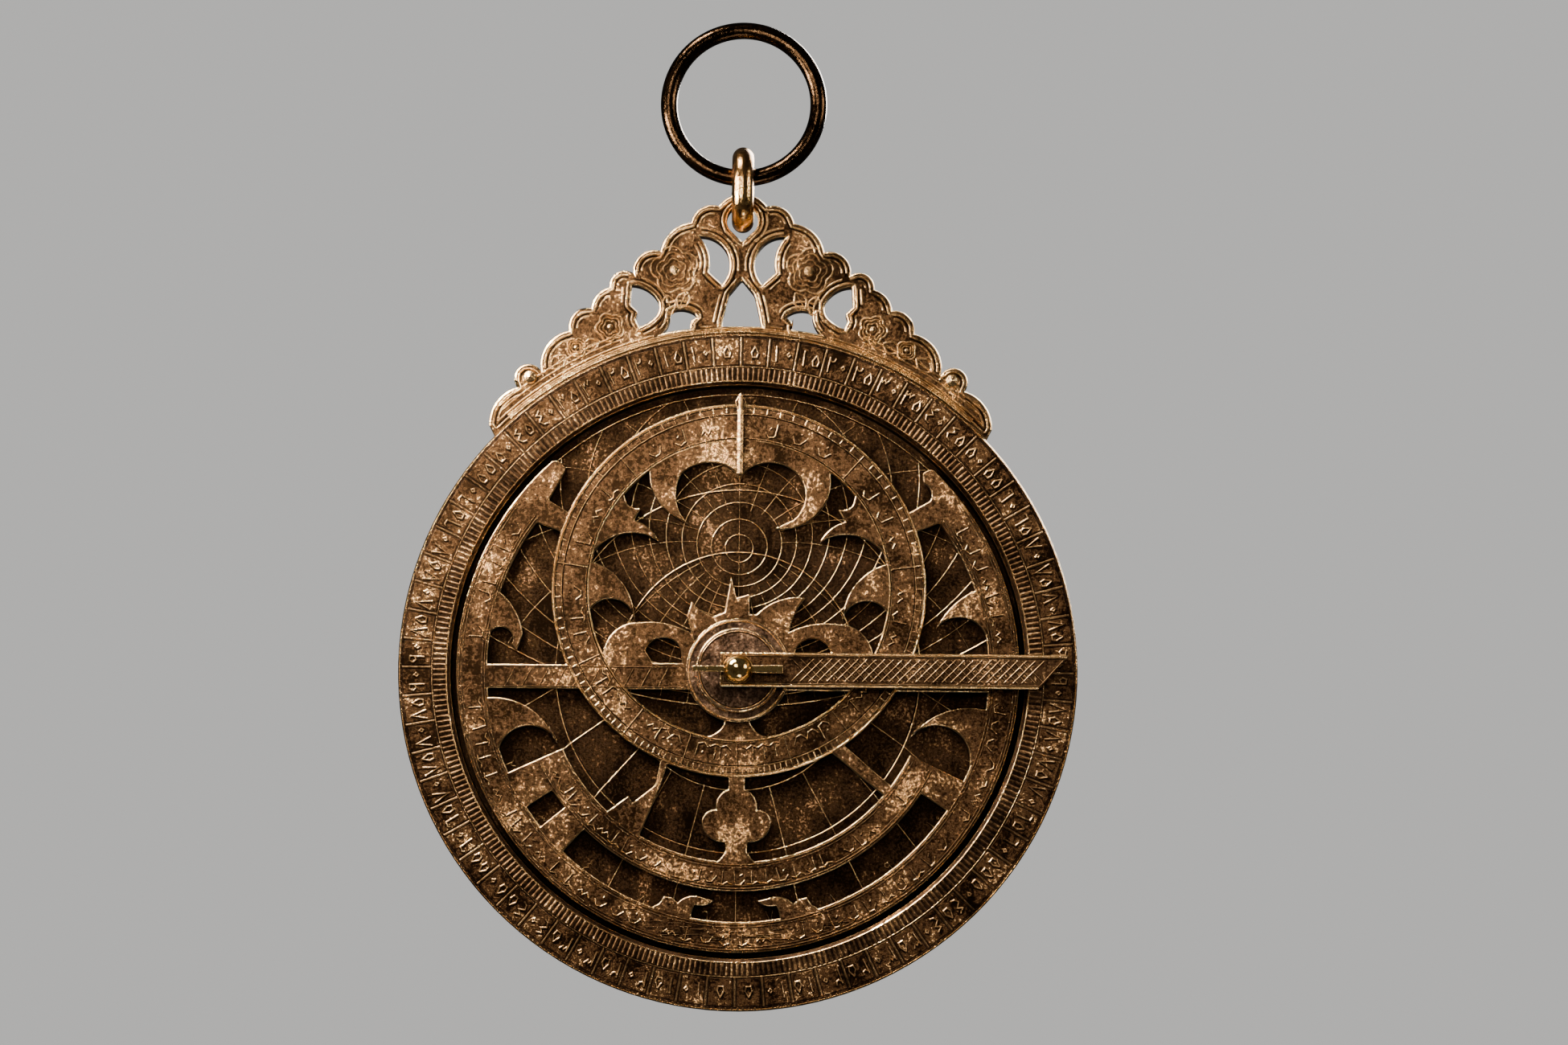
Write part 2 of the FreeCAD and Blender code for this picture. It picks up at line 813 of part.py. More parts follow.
def sight_vane(label, side):
    """An upright plate with a round head and two sight holes, standing across one arm of the alidade."""
    place = side * size("vane_place") - size("vane_thick") / 2
    body = new_body(label)
    half, high = size("vane_half"), size("vane_high")
    back = -alidade_back
    # In the YZ plane, X of the sketch runs towards the back of the astrolabe.
    sketch = plane_sketch(body, "YZ_Plane", place)
    top = back + high
    draw(
        sketch,
        [
            (back, -half),
            (top - half, -half),
            ((top, 0.0), (top - half, half)),
            (back, half),
        ],
    )
    circle(sketch, "sight_hole", back + size("sight_high"), 0)
    circle(sketch, "lower_sight_hole", back + size("lower_sight_high"), 0)
    pad(body, sketch, "vane_thick")


def rear_washer():
    """The washer on the pin between its head and the alidade."""
    body = new_body("rear_washer")
    sketch = face_sketch(body, rear_washer_back)
    circle(sketch, "rear_washer")
    circle(sketch, "pin_radius")
    pad(body, sketch, "rear_washer_thick")


# ---------------------------------------------------------------- link and ring


def shackle():
    """A long link of round wire through the throne's eye and round the ring."""
    bend, wire = size("link_bend"), size("link_wire")
    leg_foot = size("link_height") + bend
    leg_long = size("link_long") - 2 * bend
    drop = -pivot_drop
    parts = []
    for name, height, turn in (("link_foot", leg_foot, 180), ("link_top", leg_foot + leg_long, 0)):
        half = doc.addObject("Part::Torus", name)
        half.setExpression("Radius1", "sizes.link_bend")
        half.setExpression("Radius2", "sizes.link_wire")
        half.Angle3 = 180
        upright_turn = Rotation(Vector(0, 0, 1), 90) * Rotation(Vector(1, 0, 0), 90)
        half.Placement = Placement(Vector(0, 0, drop + height), Rotation(Vector(1, 0, 0), turn) * upright_turn)
        parts.append(half)
    for name, side in (("front_leg", -1), ("rear_leg", 1)):
        leg = doc.addObject("Part::Cylinder", name)
        leg.setExpression("Radius", "sizes.link_wire")
        leg.setExpression("Height", "sizes.link_long - 2 * sizes.link_bend")
        leg.Placement = Placement(Vector(0, side * bend, drop + leg_foot), Rotation())
        parts.append(leg)
    link = doc.addObject("Part::MultiFuse", "shackle")
    link.Label = "shackle"
    link.Shapes = parts


def suspension_ring():
    ring = doc.addObject("Part::Torus", "suspension_ring")
    ring.Label = "suspension_ring"
    ring.setExpression("Radius1", "sizes.ring_radius")
    ring.setExpression("Radius2", "sizes.ring_wire")
    ring.Placement = Placement(Vector(0, 0, ring_centre - pivot_drop), Rotation(Vector(1, 0, 0), 90))


# ---------------------------------------------------------------- build and write

mater_plate()
limb_ring()
limb_rivets()
throne()
throne_rivets()
plate_peg()
climate_plates()
rete()
capricorn_pointer()
hub_disc()
hub_washer()
rule()
centre_pin()
wedge()
alidade()
sight_vane("sight_vane_left", -1)
sight_vane("sight_vane_right", 1)
rear_washer()
shackle()
suspension_ring()
doc.recompute()

NODES = [o for o in doc.Objects if o.TypeId == "PartDesign::Body" or o.Label in ("shackle", "suspension_ring")]

for item in doc.Objects:
    if {"Invalid", "Error"} & set(item.State):
        raise RuntimeError(f"{item.Label} failed: {item.State}")

os.makedirs("parts", exist_ok=True)
for node in NODES:
    shape = node.Shape
    if shape.isNull() or not shape.isValid() or not shape.Solids:
        raise RuntimeError(f"{node.Label} has no valid shape")
    shape.exportStep(f"parts/{node.Label}.step")
    print(f"{node.Label}: {len(shape.Solids)} solid(s), {shape.Volume:.0f} mm3")
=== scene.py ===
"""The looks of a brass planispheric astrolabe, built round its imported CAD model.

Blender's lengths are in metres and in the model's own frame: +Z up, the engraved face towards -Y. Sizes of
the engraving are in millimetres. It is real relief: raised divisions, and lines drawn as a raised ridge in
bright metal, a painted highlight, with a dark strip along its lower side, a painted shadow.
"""

import math
import random

import bpy
from mathutils import Matrix, Vector


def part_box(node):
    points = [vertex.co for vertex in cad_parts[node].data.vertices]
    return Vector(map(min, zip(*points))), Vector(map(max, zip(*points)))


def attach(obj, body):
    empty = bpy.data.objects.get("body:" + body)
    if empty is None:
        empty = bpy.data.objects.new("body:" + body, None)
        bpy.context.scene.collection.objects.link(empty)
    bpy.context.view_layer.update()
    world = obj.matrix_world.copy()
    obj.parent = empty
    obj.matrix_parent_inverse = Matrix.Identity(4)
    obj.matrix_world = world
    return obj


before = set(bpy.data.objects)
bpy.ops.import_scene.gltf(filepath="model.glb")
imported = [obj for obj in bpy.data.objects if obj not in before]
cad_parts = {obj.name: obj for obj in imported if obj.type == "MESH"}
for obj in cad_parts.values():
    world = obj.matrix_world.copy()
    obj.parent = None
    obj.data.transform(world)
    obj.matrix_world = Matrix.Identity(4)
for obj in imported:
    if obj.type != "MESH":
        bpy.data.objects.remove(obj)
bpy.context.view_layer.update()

MM = 0.001
random.seed(11)


# ---------------------------------------------------------------- where things are


def low(node, axis):
    """A CAD node's lowest coordinate along axis 0, 1 or 2."""
    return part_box(node)[0][axis]


def high(node, axis):
    """A CAD node's highest coordinate along axis 0, 1 or 2."""
    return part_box(node)[1][axis]


PIVOT_Z = (low("hub_disc", 2) + high("hub_disc", 2)) / 2
PLATE_RADIUS = high("climate_plate_4", 0) / MM
RETE_RADIUS = high("rete", 0) / MM
FACE = -1  # relief on the side towards -Y
BACK = 1  # relief on the side towards +Y
HUB_EDGE = 9.6  # how far from the pivot straight lines come out from under the hub, in millimetres


def polar(radius, degrees, centre=(0.0, 0.0)):
    """A point of the face plane in millimetres from the pivot, at an angle from +X."""
    angle = math.radians(degrees)
    return (centre[0] + radius * math.cos(angle), centre[1] + radius * math.sin(angle))


def arc(radius, start, end, centre=(0.0, 0.0), step=2.0):
    """Points along an arc, in millimetres from the pivot."""
    count = max(2, math.ceil(abs(end - start) / step))
    return [polar(radius, start + (end - start) * k / count, centre) for k in range(count + 1)]


# ---------------------------------------------------------------- materials

# Noise scales, in cycles per metre, and the share of each noise in the pattern of wear.
# The brushing has its share in the bump.
GRAIN_SCALE, GRAIN_SHARE = 1900.0, 0.46
BLOTCH_SCALE, BLOTCH_SHARE = 520.0, 0.2
PATCH_SHARE = 0.34
BRUSH_SCALE, BRUSH_SHARE = 600.0, 0.35
BUMP_DEPTH = 0.2 * MM
# Ambient occlusion samples for the painted shade in recesses
HOLLOW_SAMPLES = 6
PIT_AND_SHADE_DARKNESS = 0.2  # the colour of pits, and of the painted shade in recesses, as a share of the patina's
POLISH = 0.8  # scales every metal's roughness


def metal(name, worn, tarnish, wear, rough, patch=150.0, relief=0.25, recess_shade=0.75, reach=0.9):
    """Aged metal: bright metal worn through a dark patina in patches and grains, with painted shade in its
    recesses.

    The wear goes from 0, all patina, to 1, all bright. The roughness is given for bright metal and for
    patina, and the patch scale in cycles per metre. The recess shade is how strongly painted shade darkens
    the colour in recesses, and the reach how far it spreads, in millimetres.
    """
    material = bpy.data.materials.new(name)
    material.use_nodes = True
    nodes, links = material.node_tree.nodes, material.node_tree.links
    shader = nodes["Principled BSDF"]
    shader.inputs["Metallic"].default_value = 1.0
    place = nodes.new("ShaderNodeTexCoord")

    def noise(scale, detail=6.0, roughness=0.6, stretch=(1, 1, 1)):
        mapping = nodes.new("ShaderNodeMapping")
        mapping.inputs["Scale"].default_value = stretch
        texture = nodes.new("ShaderNodeTexNoise")
        texture.inputs["Scale"].default_value = scale
        texture.inputs["Detail"].default_value = detail
        texture.inputs["Roughness"].default_value = roughness
        links.new(place.outputs["Object"], mapping.inputs["Vector"])
        links.new(mapping.outputs["Vector"], texture.inputs["Vector"])
        return texture.outputs["Fac"]

    def spread(value, near, far, low_end=0.0, high_end=1.0):
        node = nodes.new("ShaderNodeMapRange")
        node.interpolation_type = "SMOOTHSTEP"
        node.inputs["From Min"].default_value = near
        node.inputs["From Max"].default_value = far
        node.inputs["To Min"].default_value = low_end
        node.inputs["To Max"].default_value = high_end
        links.new(value, node.inputs["Value"])
        return node.outputs["Result"]

    def blend(factor, first, second):
        node = nodes.new("ShaderNodeMix")
        node.data_type = "RGBA"
        for value, socket in ((factor, node.inputs[0]), (first, node.inputs[6]), (second, node.inputs[7])):
            if isinstance(value, tuple):
                socket.default_value = (*value, 1.0)
            else:
                links.new(value, socket)
        return node.outputs[2]

    def calc(operation, first, second):
        node = nodes.new("ShaderNodeMath")
        node.operation = operation
        for value, socket in ((first, node.inputs[0]), (second, node.inputs[1])):
            if isinstance(value, (int, float)):
                socket.default_value = value
            else:
                links.new(value, socket)
        return node.outputs[0]

    def times(first, second):
        return calc("MULTIPLY", first, second)

    def plus(first, second):
        return calc("ADD", first, second)

    grain = noise(GRAIN_SCALE, 5.0, 0.75)
    blotch = noise(BLOTCH_SCALE, 5.0, 0.7, (1.0, 1.0, 0.45))
    fine = plus(times(grain, GRAIN_SHARE), times(blotch, BLOTCH_SHARE))
    height = plus(fine, times(noise(patch), PATCH_SHARE))
    edge = 0.6 - 0.15 * wear
    film = spread(height, edge - 0.1, edge)
    shown = spread(height, edge, edge + 0.07)
    pit_and_shade = tuple(PIT_AND_SHADE_DARKNESS * part for part in tarnish)
    colour = blend(shown, blend(film, pit_and_shade, tarnish), worn)
    brushed = noise(BRUSH_SCALE, 3.0, 0.5, (0.15, 1, 1))
    # Painted shade: ambient occlusion darkens the base colour towards the pit colour in recesses, where
    # shade falls; in part it also stands for patina gathered in hollows.
    hollow = nodes.new("ShaderNodeAmbientOcclusion")
    hollow.samples = HOLLOW_SAMPLES
    hollow.inputs["Distance"].default_value = reach * MM
    unshaded = spread(hollow.outputs["AO"], 0.25, 0.95)
    closed = times(calc("SUBTRACT", 1.0, unshaded), recess_shade)
    links.new(blend(closed, colour, pit_and_shade), shader.inputs["Base Color"])
    roughness = spread(shown, 0.0, 1.0, POLISH * rough[1], POLISH * rough[0])
    links.new(plus(roughness, times(closed, 0.2)), shader.inputs["Roughness"])
    bump = nodes.new("ShaderNodeBump")
    bump.inputs["Strength"].default_value = relief
    bump.inputs["Distance"].default_value = BUMP_DEPTH
    worn_height = plus(times(film, 0.45), times(shown, 0.45))
    links.new(plus(worn_height, times(brushed, BRUSH_SHARE)), bump.inputs["Height"])
    links.new(bump.outputs["Normal"], shader.inputs["Normal"])
    return material


GOLD = (0.90, 0.53, 0.22)
BROWN = (0.07, 0.034, 0.014)
limb_metal = metal("limb_metal", GOLD, BROWN, 0.34, (0.24, 0.42), relief=0.6)
ground_metal = metal("ground_metal", (0.14, 0.073, 0.034), (0.035, 0.018, 0.009), 0.4, (0.4, 0.6))
bar_metal = metal("bar_metal", GOLD, (0.14, 0.072, 0.031), 0.5, (0.3, 0.5), relief=0.5)
# As the ridge of the limb's figures and the rule's lattice this bright metal is a painted highlight; it also
# colours the limb's spokes.
figure_metal = metal("figure_metal", (1.0, 0.66, 0.32), (0.34, 0.19, 0.08), 0.66, (0.24, 0.42), recess_shade=0.5)
throne_metal = metal("throne_metal", GOLD, BROWN, 0.4, (0.24, 0.42), relief=0.65)
# Painted shade: the plate's colours are much darker than the rete's because the plate lies in shade under
# the rete and inside the limb, and its strong, far-reaching recess darkening paints the shade near the
# walls.
shaded_plate_metal = metal(
    "shaded_plate_metal", (0.38, 0.20, 0.085), (0.032, 0.016, 0.007), 0.34, (0.28, 0.46),
    patch=110.0, relief=0.6, recess_shade=0.92, reach=3.2,
)
rete_metal = metal(
    "rete_metal", (0.82, 0.46, 0.18), (0.085, 0.042, 0.018), 0.42, (0.24, 0.42), patch=110.0, relief=0.55
)
# Bright metal for worn edges, ridges, rims and ticks: worn brass, made brighter all over as a painted
# highlight.
worn_and_highlight_metal = metal("worn_and_highlight_metal", (1.0, 0.70, 0.34), (0.62, 0.37, 0.15), 0.85, (0.18, 0.32), recess_shade=0.3)
throne_edge = metal("throne_edge", (1.0, 0.69, 0.33), (0.42, 0.24, 0.10), 0.75, (0.2, 0.34), recess_shade=0.4)
# Dark metal: the painted shadow strip below each engraved line, the throne's groove strips and the link's
# seam.
cut_and_shadow_metal = metal("cut_and_shadow_metal", (0.05, 0.024, 0.010), (0.014, 0.007, 0.003), 0.4, (0.5, 0.7))
rule_metal = metal("rule_metal", (0.56, 0.32, 0.135), (0.075, 0.038, 0.017), 0.36, (0.22, 0.4), relief=0.5)
hub_metal = metal(
    "hub_metal", (0.37, 0.22, 0.125), (0.07, 0.039, 0.023), 0.42, (0.3, 0.5), patch=260.0, relief=0.7
)
pin_metal = metal(
    "pin_metal", (1.0, 0.72, 0.28), (0.74, 0.44, 0.14), 1.0, (0.07, 0.16), relief=0.08, recess_shade=0.4
)
link_metal = metal(
    "link_metal", (0.86, 0.52, 0.19), (0.30, 0.15, 0.05), 0.9, (0.12, 0.26), relief=0.15, recess_shade=0.5
)
ring_metal = metal(
    "ring_metal", (0.24, 0.135, 0.06), (0.075, 0.039, 0.018), 0.3, (0.1, 0.2), relief=0.12, recess_shade=0.5
)
back_metal = metal(
    "back_metal", (0.56, 0.32, 0.135), (0.12, 0.062, 0.027), 0.42, (0.24, 0.42), patch=45.0, relief=0.5
)


WELD_REACH = 1e-6
FLAT_ANGLE = math.radians(0.6)  # faces that meet flatter than this are one face
EDGE_ANGLE = math.radians(38)  # edges sharper than this get a bright bevel, worn metal with a painted highlight


def dress(node, material, bevel=0.0, pierced=False):
    """Gives a CAD node its metal and, with a bevel in millimetres, bright edges of worn metal with a painted
    highlight.

    A pierced node keeps its triangles, because merged faces with holes in them don't bevel well.
    """
    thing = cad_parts[node]
    thing.data.materials.clear()
    thing.data.materials.append(material)
    for face in thing.data.polygons:
        face.material_index = 0
    if not bevel:
        return
    thing.data.materials.append(worn_and_highlight_metal)
    weld = thing.modifiers.new("weld", "WELD")
    weld.merge_threshold = WELD_REACH
    if not pierced:
        flat = thing.modifiers.new("flat", "DECIMATE")
        flat.decimate_type = "DISSOLVE"
        flat.angle_limit = FLAT_ANGLE
    cut = thing.modifiers.new("edges", "BEVEL")
    cut.width = bevel * MM
    cut.segments = 2
    cut.limit_method = "ANGLE"
    cut.angle_limit = EDGE_ANGLE
    cut.use_clamp_overlap = False
    cut.material = 1


dress("suspension_ring", ring_metal)
dress("shackle", link_metal)
dress("throne", throne_metal, 0.3, pierced=True)
dress("limb_ring", ground_metal, 0.12)
dress("mater_plate", back_metal, 0.15)
dress("limb_rivets", back_metal)
dress("throne_rivets", back_metal)
dress("plate_peg", shaded_plate_metal)
for plate in range(1, 5):
    dress(f"climate_plate_{plate}", shaded_plate_metal)
dress("rete", rete_metal, 0.21)
dress("capricorn_pointer", throne_metal, 0.15)
dress("hub_disc", hub_metal, 0.15)
dress("hub_washer", hub_metal, 0.1)
dress("rule", rule_metal, 0.13)
dress("centre_pin", pin_metal)
dress("wedge", pin_metal, 0.12)
dress("rear_washer", hub_metal, 0.12)
dress("alidade", rule_metal, 0.2)
dress("sight_vane_left", rule_metal, 0.18)
dress("sight_vane_right", rule_metal, 0.18)


# ---------------------------------------------------------------- relief

SUNK = 0.03  # how far the foot of raised work goes into its surface
TINY = 1e-6


class Relief:
    """Raised work on a flat face, gathered into one mesh.

    Points are in millimetres from the pivot, X to the right and Z up for someone who looks at that side.
    """

    def __init__(self, surface, side=FACE):
        self.surface = surface
        self.side = side
        self.vertices = []
        self.faces = []

    def point(self, x, z, height):
        """Adds a point at a height above the surface, and gives its number."""
        depth = self.surface + self.side * height * MM
        self.vertices.append((-self.side * x * MM, depth, PIVOT_Z + z * MM))
        return len(self.vertices) - 1

    def face(self, *corners):
        """Adds a face given anticlockwise as seen from outside."""
        self.faces.append(corners)

    def land(self, outline, height, slope):
        """A raised field over a convex outline given anticlockwise, its sides sloping in by a slope."""
        count = len(outline)
        middle = Vector((sum(p[0] for p in outline) / count, sum(p[1] for p in outline) / count))
        foot = [self.point(x, z, -SUNK) for x, z in outline]
        top = []
        for x, z in outline:
            away = Vector((x, z)) - middle
            spot = middle + away * max(0.0, 1 - 1.4 * slope / max(away.length, TINY))
            top.append(self.point(*spot, height))
        self.face(*top)
        self.face(*foot[::-1])
        for k in range(count):
            after = (k + 1) % count
            self.face(foot[k], foot[after], top[after], top[k])

    def line(self, points, width, height, closed=False, crown=0.12):
        """A raised ridge along a polyline, its crown a share of its width."""
        spots = [Vector(p) for p in points]
        if closed and (spots[0] - spots[-1]).length < TINY:
            spots.pop()
        count = len(spots)
        rows = []
        for k, spot in enumerate(spots):
            before = spots[(k - 1) % count] if closed or k else spot
            after = spots[(k + 1) % count] if closed or k < count - 1 else spot
            first = spot - before if (spot - before).length > TINY else after - spot
            first = first.normalized()
            second = (after - spot).normalized() if (after - spot).length > TINY else first
            along = (first + second).normalized() if (first + second).length > 1e-3 else second
            across = Vector((-along.y, along.x)) * (width / 2) / max(0.6, along.dot(second))
            rows.append(
                (
                    self.point(*(spot - across), -SUNK),
                    self.point(*(spot - across * crown), height),
                    self.point(*(spot + across * crown), height),
                    self.point(*(spot + across), -SUNK),
                )
            )
        for k in range(count if closed else count - 1):
            near, far = rows[k], rows[(k + 1) % count]
            for j in range(4):
                self.face(near[j], far[j], far[(j + 1) % 4], near[(j + 1) % 4])
        if not closed:
            self.face(*rows[0])
            self.face(*rows[-1][::-1])

    def bead(self, x, z, radius, height, sides):
        """A small domed bead."""
        rings = []
        for share, rise in ((1.0, -SUNK), (0.78, 0.6 * height)):
            spots = [polar(radius * share, 360 * k / sides, (x, z)) for k in range(sides)]
            rings.append([self.point(*spot, rise) for spot in spots])
        peak = self.point(x, z, height)
        for k in range(sides):
            after = (k + 1) % sides
            self.face(rings[0][k], rings[0][after], rings[1][after], rings[1][k])
            self.face(rings[1][k], rings[1][after], peak)
        self.face(*rings[0][::-1])

    def build(self, name, material, body, slot):
        """Makes the gathered mesh an object that rides on a body."""
        mesh = bpy.data.meshes.new(name)
        mesh.from_pydata(self.vertices, [], self.faces)
        mesh.update()
        mesh.materials.append(material)
        thing = bpy.data.objects.new(name, mesh)
        bpy.context.scene.collection.objects.link(thing)
        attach(thing, body)


class Engraving:
    """Lines on one surface: raised ridges in bright metal, a painted highlight, each with a dark strip on
    its lower side, a painted shadow.
    """

    # The shape of the painted shadow strip below each ridge, and of the ridge
    CUT_CROWN = 0.8
    CUT_RISE = 0.4  # the painted shadow strip's height, as a share of the ridge's
    CUT_SHIFT = 0.42  # how far below the ridge the painted shadow strip lies, as a share of the line's width
    RIDGE = 0.8  # the ridge's width, as a share of the line's

    def __init__(self, surface, height, side=FACE):
        self.cut = Relief(surface, side)
        self.lip = Relief(surface, side)
        self.height = height

    def line(self, points, width):
        """A line along a polyline, its painted shadow strip set below it and a little to the right."""
        shift = self.CUT_SHIFT * width
        shadow_path = [(x + 0.35 * shift, z - shift) for x, z in points]
        self.cut.line(shadow_path, width, self.CUT_RISE * self.height, crown=self.CUT_CROWN)
        self.lip.line(points, self.RIDGE * width, self.height)

    def circle(self, radius, width, centre=(0.0, 0.0)):
        """A full circle, its painted shadow strip on the inner side."""
        inner = arc(radius - 0.5 * width, 0, 360, centre)
        self.cut.line(inner, width, self.CUT_RISE * self.height, True, crown=self.CUT_CROWN)
        self.lip.line(arc(radius, 0, 360, centre), self.RIDGE * width, self.height, True)

    def glyph(self, strokes, centre, size, turn, width):
        """Strokes drawn in a box one wide and 1.4 high, set upright at a turn in degrees."""
        spin = Matrix.Rotation(math.radians(turn), 2)
        for stroke in strokes:
            placed = [Vector(centre) + spin @ (Vector((u - 0.5, v - 0.7)) * size) for u, v in stroke]
            self.line([tuple(p) for p in placed], width)

    def build(self, name, body, slot, bright_metal=worn_and_highlight_metal):
        """Makes the painted shadow strips and the bright ridges two objects that ride on a body."""
        self.cut.build(f"{name}_cut", cut_and_shadow_metal, body, slot)
        self.lip.build(f"{name}_lip", bright_metal, body, slot)


# Numerals of the eastern Arabic kind, 0 to 9, as strokes in a box one wide and 1.4 high.
DIGITS = [
    [[(0.35, 0.7), (0.5, 0.88), (0.65, 0.7), (0.5, 0.52), (0.35, 0.7)]],
    [[(0.45, 1.4), (0.55, 0.0)]],
    [[(0.25, 1.4), (0.35, 0.0)], [(0.27, 1.2), (0.5, 1.0), (0.72, 1.1), (0.8, 1.4)]],
    [[(0.15, 1.4), (0.25, 0.0)], [(0.18, 1.2), (0.33, 1.02), (0.48, 1.3), (0.64, 1.02), (0.85, 1.4)]],
    [[(0.8, 1.4), (0.35, 1.15), (0.7, 0.85), (0.25, 0.5), (0.45, 0.12), (0.8, 0.0)]],
    [[(0.5, 1.2), (0.2, 0.6), (0.3, 0.2), (0.7, 0.2), (0.8, 0.6), (0.5, 1.2)]],
    [[(0.15, 1.2), (0.3, 1.35), (0.7, 1.3), (0.8, 0.0)]],
    [[(0.1, 1.4), (0.5, 0.0), (0.9, 1.4)]],
    [[(0.1, 0.0), (0.5, 1.4), (0.9, 0.0)]],
    [[(0.75, 0.0), (0.75, 1.3), (0.35, 1.35), (0.2, 1.0), (0.45, 0.75), (0.75, 0.9)]],
]


def number(engraving, value, centre, size, turn, width):
    """A whole number, its digits set side by side about a centre."""
    digits = [int(figure) for figure in str(value)]
    pitch = 1.12 * size
    along = Vector((math.cos(math.radians(turn)), math.sin(math.radians(turn))))
    for place, digit in enumerate(digits):
        spot = Vector(centre) + along * pitch * (place - (len(digits) - 1) / 2)
        engraving.glyph(DIGITS[digit], spot, size, turn, width)


# Short generic marks that stand for star names and other small lettering, and spell nothing.
MARKS = [
    [[(0.0, 0.2), (0.35, 0.1), (0.7, 0.3), (1.0, 0.15)], [(0.3, 0.2), (0.35, 1.1)]],
    [[(0.0, 0.6), (0.3, 0.2), (0.65, 0.25), (0.95, 0.7)], [(0.5, 0.9), (0.56, 1.0)]],
    [[(0.1, 1.1), (0.2, 0.1), (0.6, 0.1), (0.9, 0.45)], [(0.55, 0.75), (0.75, 0.9)]],
    [[(0.0, 0.35), (0.25, 0.6), (0.45, 0.3), (0.7, 0.6), (1.0, 0.3)]],
    [[(0.8, 1.1), (0.75, 0.25), (0.35, 0.1), (0.05, 0.4)], [(0.3, 0.7), (0.4, 0.8)]],
]


def lettering(engraving, places, size, width):
    """Generic marks at (x, z, turn) places."""
    for x, z, turn in places:
        engraving.glyph(random.choice(MARKS), (x, z), size, turn, width)


# ---------------------------------------------------------------- the limb

BARS_INNER, BARS_OUTER = 51.6, 53.75
CELL_INNER, CELL_OUTER = 54.3, 59.15
ROPE_RADIUS = 59.5
CELL_DEGREES = 5
CELL_GAP = 0.4  # degrees of bare ground at each end of a numbered field
BAR_WIDTH = 0.56
SPOKE_WIDTH = 0.42
LIMB_FIGURE_SIZE, LIMB_FIGURE_WIDTH = 1.95, 0.48


def field(inner, outer, start, end):
    """The anticlockwise outline of a stretch of a flat ring."""
    return arc(outer, start, end, step=1.7) + arc(inner, end, start, step=1.7)


def divided_band(surface, side, heights, quarters, name, slot):
    """A raised bar for every degree and a raised, numbered field for every fifth, over some quarter turns.

    The heights are those of the bars, fields and figures. Each quarter is given by its first degree and by
    whether its numbers rise with the angle.
    """
    bars, fields, spokes = Relief(surface, side), Relief(surface, side), Relief(surface, side)
    bar_height, field_height, figure_height = heights
    figures = Engraving(surface + side * field_height * MM, figure_height, side)
    for quarter, rising in quarters:
        for degree in range(quarter, quarter + 90):
            bar = [polar(BARS_INNER, degree + 0.5), polar(BARS_OUTER, degree + 0.5)]
            bars.line(bar, BAR_WIDTH, bar_height)
        for start in range(quarter, quarter + 90, CELL_DEGREES):
            outline = field(CELL_INNER, CELL_OUTER, start + CELL_GAP, start + CELL_DEGREES - CELL_GAP)
            fields.land(outline, field_height, 0.1)
            spoke = [polar(CELL_INNER - 0.1, start), polar(CELL_OUTER + 0.1, start)]
            spokes.line(spoke, SPOKE_WIDTH, 2 * field_height)
            middle = start + CELL_DEGREES / 2
            value = start - quarter + CELL_DEGREES if rising else quarter + 90 - start
            centre = polar((CELL_INNER + CELL_OUTER) / 2, middle)
            number(figures, value, centre, LIMB_FIGURE_SIZE, middle - 90, LIMB_FIGURE_WIDTH)
    bars.build(f"{name}_degree_bars", bar_metal, "mater", slot)
    fields.build(f"{name}_number_fields", limb_metal, "mater", slot)
    spokes.build(f"{name}_spokes", figure_metal, "mater", slot)
    figures.build(f"{name}_figures", "mater", slot, figure_metal)


def limb_divisions():
    """The divided band of the limb, with a rope of beads round it and bright lines along its borders."""
    surface = low("limb_ring", 1)
    quarters = ((0, False), (90, True), (180, False), (270, True))
    divided_band(surface, FACE, (0.19, 0.1, 0.11), quarters, "limb", "mater_brass")
    rope = Relief(surface)
    for degree in range(360):
        rope.bead(*polar(ROPE_RADIUS, degree + 0.5), 0.2, 0.12, 6)
    rope.build("limb_rope", limb_metal, "mater", "mater_brass")
    rims = Relief(surface)
    for radius, width in ((BARS_OUTER + 0.27, 0.24), (BARS_INNER - 0.06, 0.12), (59.76, 0.14)):
        rims.line(arc(radius, 0, 360), width, 0.1, True)
    rims.build("limb_rim_lines", worn_and_highlight_metal, "mater", "mater_brass")


# ---------------------------------------------------------------- the plate's sky lines

EQUATOR = 32.2
LATITUDE = 22.0
OBLIQUITY = 23.5
TROPIC_SHARE = math.tan(math.radians((90 - OBLIQUITY) / 2))
ALTITUDE_STEP, AZIMUTH_STEP, HOUR_STEP = 6, 15, 15
CLEAR_OF_ZENITH = 7.0  # how near to the zenith the azimuth arcs come


def inside(points, radius, clear_of=None):
    """The runs of a polyline that lie within a radius of the pivot and pass a test."""
    runs, run = [], []
    for point in points:
        keep = math.hypot(*point) < radius and (clear_of is None or clear_of(point))
        if keep:
            run.append(point)
        elif run:
            runs.append(run)
            run = []
    if run:
        runs.append(run)
    return [run for run in runs if len(run) > 1]


